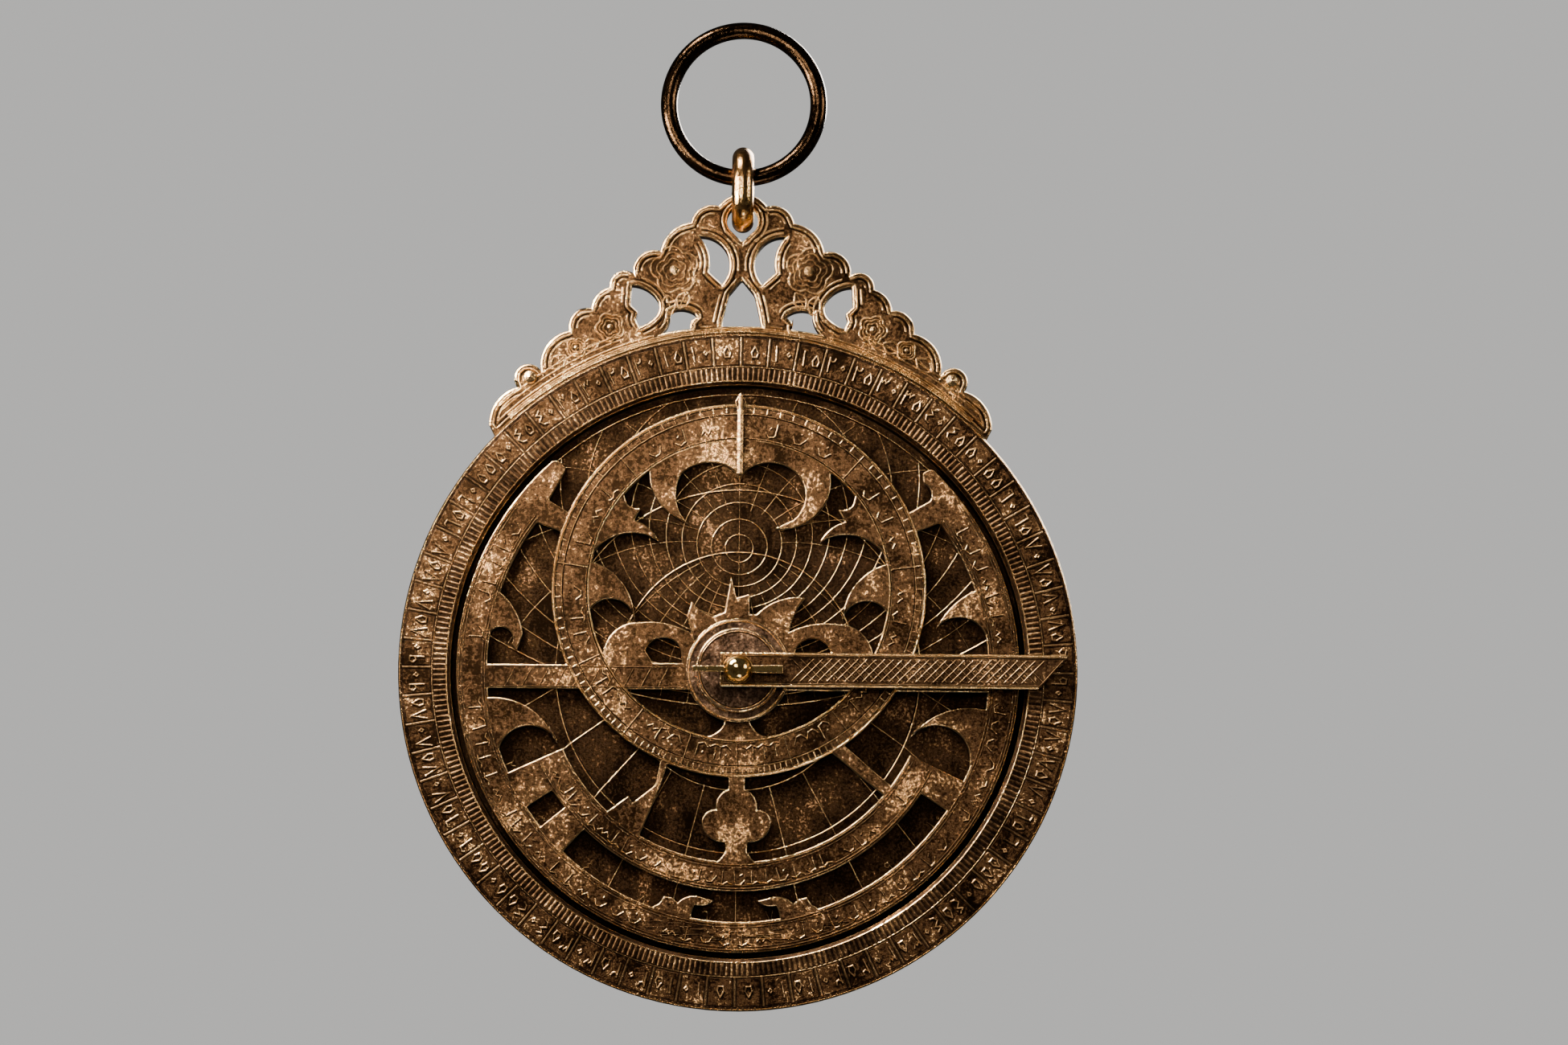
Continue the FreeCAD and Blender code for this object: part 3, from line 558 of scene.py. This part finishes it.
def plate_lines():
    """The top plate's tropics, altitude and azimuth lines and hour lines, by stereographic projection."""
    lines = Engraving(low("climate_plate_4", 1), 0.08)
    edge = PLATE_RADIUS - 1.2
    tilt = math.radians(LATITUDE)
    for radius in (EQUATOR * TROPIC_SHARE, EQUATOR, edge):
        lines.circle(radius, 0.36)
    horizon_centre, horizon_radius = EQUATOR / math.tan(tilt), EQUATOR / math.sin(tilt)

    def above(point):
        return math.hypot(point[0], point[1] - horizon_centre) < horizon_radius

    for altitude in range(0, 90, ALTITUDE_STEP):
        rise = math.sin(tilt) + math.sin(math.radians(altitude))
        centre = (0.0, EQUATOR * math.cos(tilt) / rise)
        radius = EQUATOR * math.cos(math.radians(altitude)) / rise
        for run in inside(arc(radius, 0, 360, centre, 1.5), edge):
            lines.line(run, 0.42 if altitude == 0 else 0.3)
    zenith = EQUATOR * math.tan(math.radians((90 - LATITUDE) / 2))
    nadir = -EQUATOR * math.tan(math.radians((90 + LATITUDE) / 2))
    middle, half = (zenith + nadir) / 2, (zenith - nadir) / 2

    def low_sky(point):
        return above(point) and math.dist(point, (0.0, zenith)) > CLEAR_OF_ZENITH

    for azimuth in range(-75, 90, AZIMUTH_STEP):
        if azimuth == 0:
            continue
        reach = half / math.tan(math.radians(azimuth))
        radius = math.hypot(half, reach)
        for run in inside(arc(radius, 0, 360, (reach, middle), 1.0), edge, low_sky):
            lines.line(run, 0.22)
    for hour in range(1, 12):
        # Unequal hours run from the outer tropic to the inner one, below the horizon.
        turn = 180 + HOUR_STEP * hour
        spread = 1.0 + 0.05 * abs(6 - hour)
        inner = polar(EQUATOR * TROPIC_SHARE, 270 + (turn - 270) * spread)
        middle_point = polar(EQUATOR, 270 + (turn - 270) * (1 + spread) / 2)
        lines.line([polar(edge, turn), middle_point, inner], 0.32)
        number(lines, hour, polar(edge - 5.5, turn - 7), 1.5, turn + 83, 0.2)
    for side in (1, -1):
        lines.line([(0.0, side * HUB_EDGE), (0.0, side * edge)], 0.22)
    for side in (-1, 1):
        lines.line([(side * HUB_EDGE, 0.0), (side * edge, 0.0)], 0.22)
    lines.build("plate_lines", "mater", "plate_brass")


# ---------------------------------------------------------------- the rete's divisions

ECLIPTIC = (0.0, 14.3)
ECLIPTIC_RADIUS = 33.2
SIGN_INNER, SIGN_OUTER = 27.1, 32.6
# The rings that carry star names: inner and outer radius, and where they start and end in degrees.
NAME_RINGS = ((44.3, RETE_RADIUS, 143, 397), (33.8, 39.0, 206, 333))
SCRATCHES = 46


def from_pole(degrees):
    """The angle about the ecliptic ring's centre at which a line from the pivot meets the ring's rim."""
    heading = Vector((math.cos(math.radians(degrees)), math.sin(math.radians(degrees))))
    ahead = heading.dot(Vector(ECLIPTIC))
    reach = ahead + math.sqrt(ahead**2 - ECLIPTIC[1] ** 2 + ECLIPTIC_RADIUS**2)
    return math.degrees(math.atan2(heading.y * reach - ECLIPTIC[1], heading.x * reach))


def rete_marks():
    """Signs and degrees on the ecliptic ring, rim lines and star names on the others, and the index."""
    surface = low("rete", 1)
    marks = Engraving(surface, 0.11)
    for radius, width in ((SIGN_OUTER, 0.2), (31.35, 0.26), (SIGN_INNER, 0.2)):
        marks.circle(radius, width, ECLIPTIC)
    scale = Relief(surface)
    scale.line(arc(32.95, 0, 360, ECLIPTIC), 0.42, 0.16, True)
    scale.line(arc(26.75, 96, 444, ECLIPTIC), 0.3, 0.12)
    for step in range(0, 360, 3):
        angle = from_pole(step)
        if abs(angle % 360 - 90) < 2.5:  # the index stands there
            continue
        if step % 30 == 0:
            marks.line([polar(SIGN_INNER, angle, ECLIPTIC), polar(SIGN_OUTER, angle, ECLIPTIC)], 0.3)
        scale.line([polar(31.6, angle, ECLIPTIC), polar(32.55, angle, ECLIPTIC)], 0.3, 0.09)
    scale.build("rete_degree_ticks", worn_and_highlight_metal, "star_map", "rete_brass")
    for sign in range(12):
        for share in (8, 15, 22):
            angle = from_pole(30 * sign + share)
            if abs(angle % 360 - 90) > 4:
                x, z = polar(29.2, angle, ECLIPTIC)
                lettering(marks, [(x, z, angle - 90)], 2.6, 0.36)
    for inner, outer, start, end in NAME_RINGS:
        rims = ((inner + 0.5, 0.22), (inner + 1.0, 0.16), (outer - 1.0, 0.16), (outer - 0.5, 0.24))
        for radius, width in rims:
            marks.line(arc(radius, start, end), width)
        for degree in range(start + 5, end - 4, 4):
            # The straight bar crosses the ring near 180 and 360 degrees.
            if random.random() < 0.85 and not 174 < degree < 186 and not 355 < degree < 366:
                x, z = polar((inner + outer) / 2, degree)
                upright = degree - 90 if degree < 200 or degree > 340 else degree + 90
                lettering(marks, [(x, z, upright)], 2.4, 0.34)
    for z in (0.45, -3.1):
        marks.line([(-43.6, z), (-HUB_EDGE, z)], 0.17)
        marks.line([(HUB_EDGE, z), (43.6, z)], 0.17)
    for x in range(-41, -11, 3):
        marks.line([(x, -2.9), (x + 1.6, 0.2)], 0.2)
    # Scratches from the hand that turns the map, near its foot.
    for _ in range(SCRATCHES):
        x, z = polar(random.uniform(45.6, 48.4), random.uniform(246, 294))
        half = random.uniform(0.5, 1.9)
        marks.line([(x - half, z), (x + half, z + random.uniform(-0.06, 0.06))], 0.15)
    marks.build("rete_marks", "star_map", "rete_brass")
    ridge = Relief(low("capricorn_pointer", 1))
    ridge.line([(0, 35.0), (0, 46.2)], 1.0, 0.26, crown=0.06)
    ridge.line([(0, 46.2), (0, 49.0)], 0.7, 0.26, crown=0.06)
    ridge.build("pointer_ridge", throne_edge, "star_map", "rete_brass")


# ---------------------------------------------------------------- the throne's ornament


def face_loops(node):
    """The closed outlines of a node's flat front, in millimetres from the pivot, metal on their left."""
    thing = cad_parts[node]
    spots = [thing.matrix_world @ vertex.co for vertex in thing.data.vertices]
    front = low(node, 1)
    flat = [abs(spot.y - front) < 0.01 * MM for spot in spots]
    key = [(round(spot.x / MM, 3), round((spot.z - PIVOT_Z) / MM, 3)) for spot in spots]
    edges = set()
    for polygon in thing.data.polygons:
        corners = list(polygon.vertices)
        if all(flat[corner] for corner in corners) and polygon.normal.length > 0:
            for k, corner in enumerate(corners):
                edges.add((key[corner], key[corners[(k + 1) % len(corners)]]))
    after = {a: b for a, b in edges if (b, a) not in edges}
    loops = []
    while after:
        start = min(after)
        loop, here = [start], after.pop(start)
        while here != start and here in after:
            loop.append(here)
            here = after.pop(here)
        loops.append([Vector(p) for p in loop])
    return loops


def distance(spot, loops):
    """The distance from a point to the nearest stretch of any outline."""
    best = math.inf
    for loop in loops:
        for k, end in enumerate(loop):
            start = loop[k - 1]
            along = end - start
            share = max(0.0, min(1.0, (spot - start).dot(along) / max(along.length_squared, TINY**2)))
            best = min(best, (spot - start - along * share).length)
    return best


CONTOUR_STEP = 0.5
CONTOUR_JUMP = 1.1  # points of a contour that lie farther apart than this aren't joined
CLEAR_SHARE = 0.93  # a contour's point stays if no outline is nearer than this share of its gap


def inset(loop, loops, gap):
    """An outline moved into the metal by a gap, without the points that come too near another stretch."""
    dense = []
    for k, end in enumerate(loop):
        start = loop[k - 1]
        pieces = max(1, math.ceil((end - start).length / CONTOUR_STEP))
        dense += [start + (end - start) * j / pieces for j in range(pieces)]
    moved = []
    for k, spot in enumerate(dense):
        along = (dense[(k + 1) % len(dense)] - dense[k - 1]).normalized()
        shifted = spot + Vector((-along.y, along.x)) * gap
        if distance(shifted, loops) > CLEAR_SHARE * gap:
            moved.append(shifted)
    return moved


def runs_of(points, gap):
    """Splits a closed trail of points where it jumps by more than a gap, and drops the short pieces."""
    runs = [[points[0]]]
    for spot in points[1:] + points[:1]:
        if (spot - runs[-1][-1]).length < gap:
            runs[-1].append(spot)
        else:
            runs.append([spot])
    return [run for run in runs if len(run) > 4]


# Flowers (centre, radius, petals, turn) and leaves (root, turn, length) of the left wing.
ROSETTES = [((-12.0, 71.5), 4.3, 5, 100.0), ((-23.4, 61.1), 2.6, 5, 45.0), ((-29.4, 57.4), 1.8, 4, 45.0)]
LEAVES = [
    ((-25.2, 58.6), 205.0, 3.4),
    ((-31.2, 56.0), 222.0, 3.6),
    ((-9.6, 67.6), 240.0, 3.4),
    ((-13.4, 67.0), 285.0, 3.6),
]
LEAF_STEPS = [k / 8 for k in range(9)]
KNOB = (37.5, 52.0)  # the knob at the right end of the throne's foot
FOOT_SPREAD = 42.5  # how far the mouldings of the foot run to each side of the top, in degrees
FOOT_MOULDINGS = ((60.45, 0.66, 0.27), (61.15, 0.4, 0.16))  # radius, width, height


def rosette(relief, centre, radius, petals, turn):
    """A flower of rounded petals drawn by its outline, with smaller ones inside and a bead in the middle."""
    for share, width in ((1.0, 0.44), (0.74, 0.34), (0.48, 0.36)):
        outline = []
        for step in range(0, 360, 6):
            swell = abs(math.cos(math.radians(petals * (step - turn) / 2)))
            outline.append(polar(radius * share * (0.78 + 0.22 * swell), step, centre))
        relief.line(outline, width, 0.19, True)
    relief.bead(*centre, 0.24 * radius, 0.4, 10)


def leaf(relief, root, turn, length):
    """A pointed leaf: two curved sides and a rib between them."""
    along = Vector((math.cos(math.radians(turn)), math.sin(math.radians(turn))))
    across = Vector((-along.y, along.x))
    root = Vector(root)
    rib = [root + along * length * t for t in LEAF_STEPS]
    for side in (-1, 1):
        swell = across * side * 0.32 * length
        relief.line([spot + swell * math.sin(math.pi * t) for spot, t in zip(rib, LEAF_STEPS)], 0.44, 0.18)
    relief.line(rib[1:-2], 0.3, 0.13)


def throne_ornament():
    """Double contours round every lobe and opening, a moulded foot, and flowers and leaves in each wing."""
    surface = low("throne", 1)
    loops = [loop for loop in face_loops("throne") if len(loop) > 5]
    raised, groove = Relief(surface), Relief(surface)
    # Each contour's relief, gap from the outline, width and height.
    contours = ((raised, 0.75, 0.5, 0.2), (groove, 1.15, 0.42, 0.04), (raised, 1.6, 0.44, 0.17))
    for loop in loops:
        for relief, gap, width, height in contours:
            outline = inset(loop, loops, gap)
            if len(outline) > 11:
                for run in runs_of(outline, CONTOUR_JUMP):
                    relief.line(run, width, height)
    for radius, width, height in FOOT_MOULDINGS:
        raised.line(arc(radius, 90 - FOOT_SPREAD, 90 + FOOT_SPREAD), width, height)
    for side in (-1, 1):
        for radius in (62.6, 63.5):
            raised.line(arc(radius, 90 + side * 20, 90 + side * FOOT_SPREAD), 0.42, 0.17)
        raised.bead(side * KNOB[0], KNOB[1], 1.35, 0.9, 14)
        for (x, z), radius, petals, turn in ROSETTES:
            rosette(raised, (side * -x, z), radius, petals, turn if side < 0 else 180 - turn)
        for (x, z), turn, length in LEAVES:
            leaf(raised, (side * -x, z), turn if side < 0 else 180 - turn, length)
    raised.build("throne_contours", throne_edge, "mater", "throne_brass")
    groove.build("throne_grooves", cut_and_shadow_metal, "mater", "throne_brass")


# ---------------------------------------------------------------- rule, hub, wedge and link

WEDGE_SWEEP = 9.8  # how far from the pivot the wedge sweeps over the rule


def rule_lattice():
    """Border lines and a lattice of crossed lines along the rule, and its raised rims."""
    surface = low("rule", 1)
    cuts = Engraving(surface, 0.08)
    end, tail = high("rule", 0) / MM - 6.4, low("rule", 0) / MM + 0.55
    for z in (-2.45, 2.45):
        cuts.line([(tail, z), (end + (1.2 if z < 0 else 5.4), z)], 0.2)
    cuts.line([(tail, -2.45), (tail, 2.45)], 0.2)
    cuts.line([(end + 1.2, -2.45), (end + 5.4, 2.2)], 0.2)
    reach, pitch, first = 1.95, 1.56, 9.5
    for k in range(int((end - first) / pitch)):
        x = first + k * pitch
        cuts.line([(x, -reach), (x + 2 * reach, reach)], 0.26)
        cuts.line([(x + 2 * reach, -reach), (x, reach)], 0.26)
    rims = Relief(surface)
    for z in (-2.8, 2.8):
        # Low where the wedge passes, higher beyond it.
        rims.line([(tail - 0.3, z), (WEDGE_SWEEP, z)], 0.42, 0.06)
        rims.line([(WEDGE_SWEEP, z), (end + (1.0 if z < 0 else 6.0), z)], 0.42, 0.15)
    rims.build("rule_rims", worn_and_highlight_metal, "half_rule", "rule_brass")
    cuts.build("rule_lattice", "half_rule", "rule_brass", figure_metal)


def hub_rings():
    """Turned lines on the hub's disc and washer, and the ridge near the wedge's thin end."""
    disc = Relief(low("hub_disc", 1))
    disc.line(arc(8.75, 0, 360, step=4), 0.42, 0.16, True)
    disc.build("hub_disc_line", worn_and_highlight_metal, "star_map", "hub_metal")
    washer = Engraving(low("hub_washer", 1), 0.08)
    washer.circle(6.85, 0.3)
    washer.build("hub_washer_line", "pin", "hub_metal")
    ridge = Relief(low("wedge", 1))
    ridge.land([(-5.0, -0.5), (-4.3, -0.5), (-4.3, 0.5), (-5.0, 0.5)], 0.05, 0.12)
    ridge.build("wedge_ridge", pin_metal, "wedge", "pin_brass")


def link_seam():
    """The lapped seam of the link, a slanting line round its front leg."""
    steps = 20
    radius = (high("shackle", 0) - low("shackle", 0)) / 2
    leg_y = low("shackle", 1) + radius
    middle = (low("shackle", 2) + high("shackle", 2)) / 2
    curve = bpy.data.curves.new("link_seam", "CURVE")
    curve.dimensions = "3D"
    curve.bevel_depth = 0.07 * MM
    curve.bevel_resolution = 2
    spline = curve.splines.new("POLY")
    spline.points.add(steps)
    for k, point in enumerate(spline.points):
        turn = math.pi + math.pi * k / steps
        z = middle - 0.6 * MM + 1.7 * MM * (k / steps - 0.5)
        point.co = (radius * math.cos(turn), leg_y + radius * math.sin(turn), z, 1.0)
    curve.materials.append(cut_and_shadow_metal)
    thing = bpy.data.objects.new("link_seam", curve)
    bpy.context.scene.collection.objects.link(thing)
    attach(thing, "link")


# ---------------------------------------------------------------- the back


def back_scales():
    """Altitude scales, a sine quadrant, zodiac arcs and a double shadow square on the back of the mater."""
    surface = high("mater_plate", 1)
    divided_band(surface, BACK, (0.08, 0.03, 0.05), ((0, True), (90, False)), "back", "mater_brass")
    lines = Engraving(surface, 0.08, BACK)
    edge, hub = 51.4, 9.8
    for radius in (58.95, 53.9, edge):
        lines.circle(radius, 0.42)
    for side in (-1, 1):
        lines.line([(side * hub, 0), (side * edge, 0)], 0.42)
        lines.line([(0, side * hub), (0, side * edge)], 0.42)
    for step in range(1, 20):
        height = edge * step / 20
        reach = math.sqrt(edge**2 - height**2)
        start = math.sqrt(max(0.0, hub**2 - height**2))
        lines.line([(-reach, height), (-max(start, 0.3), height)], 0.3 if step % 5 else 0.44)
    first, pitch = 12.0, 6.2
    for ring in range(1, 7):
        lines.line(arc(first + pitch * ring, 2, 88), 0.36)
    for sign in range(1, 6):
        bend = [polar(first + pitch * ring, 15 * sign + 9 * math.sin(ring * 0.5)) for ring in range(7)]
        lines.line(bend, 0.4)
    square, band = 30.0, 2.6
    for inner in (0.0, band, 6.2):
        side = square - inner
        lines.line([(-side, -0.6), (-side, -side), (side, -side), (side, -0.6)], 0.42)
    for part in range(-12, 13):
        place = (square - band) * part / 12
        lines.line([(place, -square), (place, -square + band)], 0.34)
        if part and part % 2 == 0:
            number(lines, abs(part), (place - math.copysign(1.2, part), -square + 4.4), 1.5, 0, 0.34)
    for part in range(1, 13):
        place = -(square - band) * part / 12
        for side in (-1, 1):
            lines.line([(side * square, place), (side * (square - band), place)], 0.34)
    rows = ((47.5, range(212, 330, 9), 2.6, 0.42), (42.5, range(222, 320, 11), 2.2, 0.4))
    for radius, angles, size, width in rows:
        lettering(lines, [polar(radius, angle) + (angle + 90,) for angle in angles], size, width)
    lines.circle(55.5, 0.34)
    lines.build("back_lines", "mater", "mater_brass")
    bar = Engraving(high("alidade", 1), 0.08, BACK)
    for side in (-1, 1):
        for z in (-3.5, 3.5):
            bar.line([(side * HUB_EDGE, z), (side * 50.5, z)], 0.36)
        for x in range(12, 41, 2):
            bar.line([(side * x, -3.3), (side * x, -2.2 if x % 10 else -0.8)], 0.3)
    bar.circle(8.2, 0.36)
    bar.build("alidade_lines", "sights", "rule_brass")


limb_divisions()
plate_lines()
rete_marks()
throne_ornament()
rule_lattice()
hub_rings()
link_seam()
back_scales()


# ---------------------------------------------------------------- camera, light and floor

CENTRE = Vector((7.9 * MM, 0.0, PIVOT_Z + 26.6 * MM))  # the middle of the view
DISTANCE = 0.9
ELEVATION = -6.0  # degrees
ROLL = 0.55  # degrees
LENS = 116.3  # millimetres, for a sensor 36 mm wide
PALE = (0.80, 0.79, 0.77)
WARM = (1.0, 0.93, 0.82)
ROOM_LIGHT = 0.06
BACKDROP_LIGHT = 0.7
FLOOR_HALF, FLOOR_DROP = 6.0, 0.95


def camera():
    """The camera, a little below the middle of the view and looking slightly up."""
    data = bpy.data.cameras.new("camera")
    data.sensor_width = 36.0
    data.lens = LENS
    data.clip_start = 0.01
    thing = bpy.data.objects.new("camera", data)
    bpy.context.scene.collection.objects.link(thing)
    slope = math.radians(ELEVATION)
    away = Vector((0.0, -math.cos(slope), math.sin(slope)))
    place = Matrix.Translation(CENTRE + DISTANCE * away)
    upright = away.to_track_quat("Z", "Y").to_matrix().to_4x4()
    thing.matrix_world = place @ upright @ Matrix.Rotation(math.radians(ROLL), 4, "Z")
    bpy.context.scene.camera = thing


def softbox(name, place, target, size, power, colour):
    """A rectangular light that the camera doesn't see, its place and target measured from the pivot."""
    place = Vector(place) + Vector((0.0, 0.0, PIVOT_Z))
    target = Vector(target) + Vector((0.0, 0.0, PIVOT_Z))
    data = bpy.data.lights.new(name, "AREA")
    data.shape = "RECTANGLE"
    data.size, data.size_y = size
    data.energy = power
    data.color = colour
    thing = bpy.data.objects.new(name, data)
    bpy.context.scene.collection.objects.link(thing)
    thing.location = place
    thing.rotation_euler = (target - place).to_track_quat("-Z", "Y").to_euler()
    thing.visible_camera = False


def pale_floor():
    """A plain floor well below the instrument."""
    half, depth = FLOOR_HALF, PIVOT_Z - FLOOR_DROP
    mesh = bpy.data.meshes.new("floor")
    corners = [(-half, -half, depth), (half, -half, depth), (half, half, depth), (-half, half, depth)]
    mesh.from_pydata(corners, [], [(0, 1, 2, 3)])
    material = bpy.data.materials.new("floor_pale")
    material.use_nodes = True
    shader = material.node_tree.nodes["Principled BSDF"]
    shader.inputs["Base Color"].default_value = (0.5, 0.49, 0.48, 1.0)
    shader.inputs["Roughness"].default_value = 0.9
    shader.inputs["Emission Color"].default_value = (*PALE, 1.0)
    shader.inputs["Emission Strength"].default_value = 0.5
    mesh.materials.append(material)
    thing = bpy.data.objects.new("floor", mesh)
    bpy.context.scene.collection.objects.link(thing)
    # The pale floor doesn't light the metal from below.
    thing.visible_diffuse = False
    thing.visible_glossy = False


def studio():
    """A dim room, a pale backdrop that only the camera sees, and the softboxes."""
    world = bpy.data.worlds.new("studio")
    world.use_nodes = True
    nodes, links = world.node_tree.nodes, world.node_tree.links
    room = nodes["Background"]
    room.inputs["Color"].default_value = (0.80, 0.76, 0.70, 1.0)
    room.inputs["Strength"].default_value = ROOM_LIGHT
    backdrop = nodes.new("ShaderNodeBackground")
    backdrop.inputs["Color"].default_value = (*PALE, 1.0)
    backdrop.inputs["Strength"].default_value = BACKDROP_LIGHT
    path = nodes.new("ShaderNodeLightPath")
    choice = nodes.new("ShaderNodeMixShader")
    links.new(path.outputs["Is Camera Ray"], choice.inputs[0])
    links.new(room.outputs["Background"], choice.inputs[1])
    links.new(backdrop.outputs["Background"], choice.inputs[2])
    links.new(choice.outputs["Shader"], nodes["World Output"].inputs["Surface"])
    bpy.context.scene.world = world
    middle, shoulder = (0.0, 0.0, 0.0), (-0.042, 0.0, 0.045)
    softbox("key", (-0.42, -0.34, 0.85), middle, (0.3, 0.12), 25.0, WARM)
    softbox("sheen", (-0.10, -0.45, 0.145), middle, (0.06, 0.06), 0.5, (1.0, 0.94, 0.85))
    softbox("glow", (-0.085, -0.045, 0.085), shoulder, (0.04, 0.04), 0.5, WARM)
    softbox("flare", (-0.062, -0.2, 0.084), shoulder, (0.05, 0.05), 0.14, WARM)
    softbox("right", (0.85, -0.36, 0.25), middle, (0.2, 0.3), 2.4, (1.0, 0.94, 0.86))
    softbox("lower", (0.2, -0.34, -0.8), middle, (0.3, 0.16), 1.6, (1.0, 0.93, 0.84))
    softbox("back", (0.5, 0.9, 0.5), middle, (0.6, 0.6), 28.0, (1.0, 0.96, 0.9))


camera()
pale_floor()
studio()
